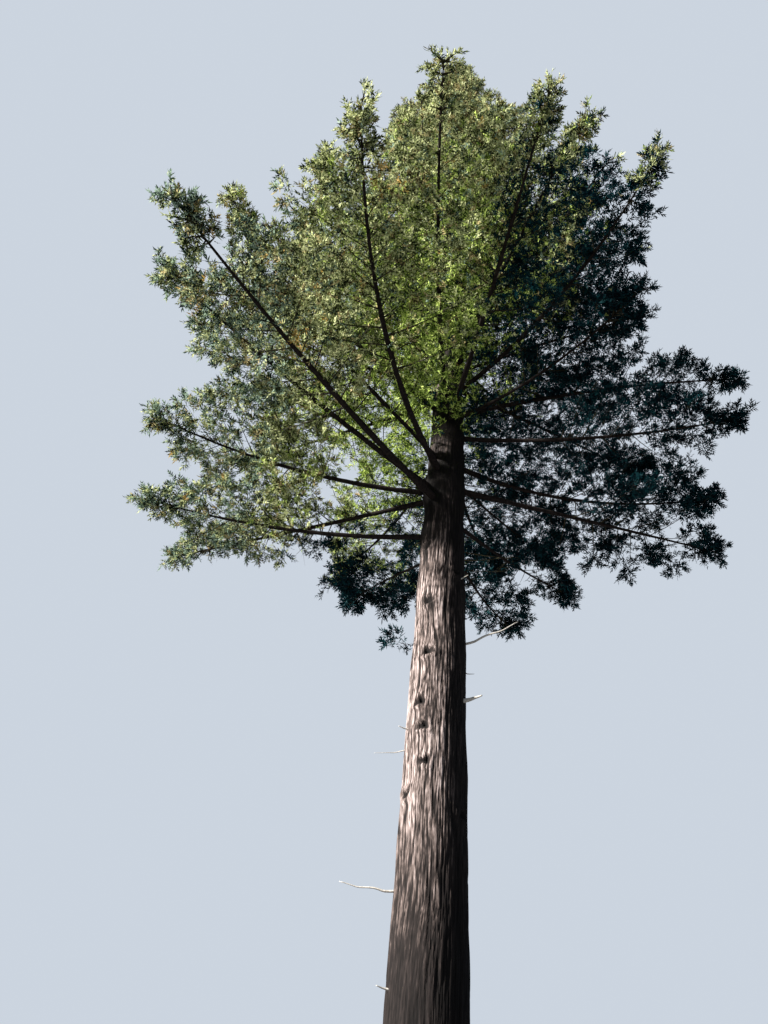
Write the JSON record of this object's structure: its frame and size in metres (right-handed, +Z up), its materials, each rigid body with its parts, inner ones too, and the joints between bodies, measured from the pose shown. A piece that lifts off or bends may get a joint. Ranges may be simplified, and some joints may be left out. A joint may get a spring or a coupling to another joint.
{
  "type": "redwood tree",
  "caption": "Tall conifer with a straight furrowed trunk on a flared foot, bare below, with level boughs fanning out all round and a dense crown of flat feathery needle sprays.",
  "frame": {"origin": "centre of the flat cut under the trunk, at ground level", "axes": "+Z up along the trunk; -Y towards the side that is seen from below in the picture; +X to the right as seen from there"},
  "size_m": [13.3146, 13.3573, 37.999],
  "materials": {
    "bark": "thick fibrous bark, grey-brown ridges and dark upright furrows",
    "limb": "thin rough bark",
    "deadwood": "bare weathered wood",
    "needles": "matt green needles in flat sprays"
  },
  "bodies": {
    "root": {"trunk": "bark", "dead_limb_left": "deadwood", "dead_limb_right": "deadwood", "bough_back_left_low": "limb", "bough_back_right": "limb", "bough_left": "limb", "bough_left_high": "limb", "bough_left_low": "limb", "bough_near": "limb", "bough_near_left": "limb", "bough_near_right": "limb", "bough_right": "limb", "bough_right_back": "limb", "bough_right_high": "limb", "bough_right_low": "limb", "bough_right_near": "limb", "foliage_back": "needles", "foliage_back_inner": "needles", "foliage_back_left": "needles", "foliage_back_left_low": "needles", "foliage_back_left_upper": "needles", "foliage_back_right": "needles", "foliage_back_right_low": "needles", "foliage_back_right_upper": "needles", "foliage_back_upper": "needles", "foliage_leader": "needles", "foliage_left": "needles", "foliage_left_high": "needles", "foliage_left_low": "needles", "foliage_left_side_upper": "needles", "foliage_left_upper": "needles", "foliage_near": "needles", "foliage_near_left": "needles", "foliage_near_left_top": "needles", "foliage_near_left_upper": "needles", "foliage_near_right": "needles", "foliage_near_right_upper": "needles", "foliage_near_upper": "needles", "foliage_right": "needles", "foliage_right_back": "needles", "foliage_right_back_upper": "needles", "foliage_right_high": "needles", "foliage_right_low": "needles", "foliage_right_middle": "needles", "foliage_right_near": "needles", "foliage_right_upper": "needles", "foliage_upper_01": "needles", "foliage_upper_02": "needles", "foliage_upper_03": "needles", "foliage_upper_04": "needles", "foliage_upper_05": "needles", "foliage_upper_06": "needles", "foliage_upper_07": "needles", "foliage_upper_08": "needles", "foliage_upper_09": "needles", "foliage_upper_10": "needles", "foliage_upper_11": "needles", "foliage_upper_12": "needles", "foliage_upper_13": "needles", "foliage_upper_14": "needles"}
  },
  "joints": []
}
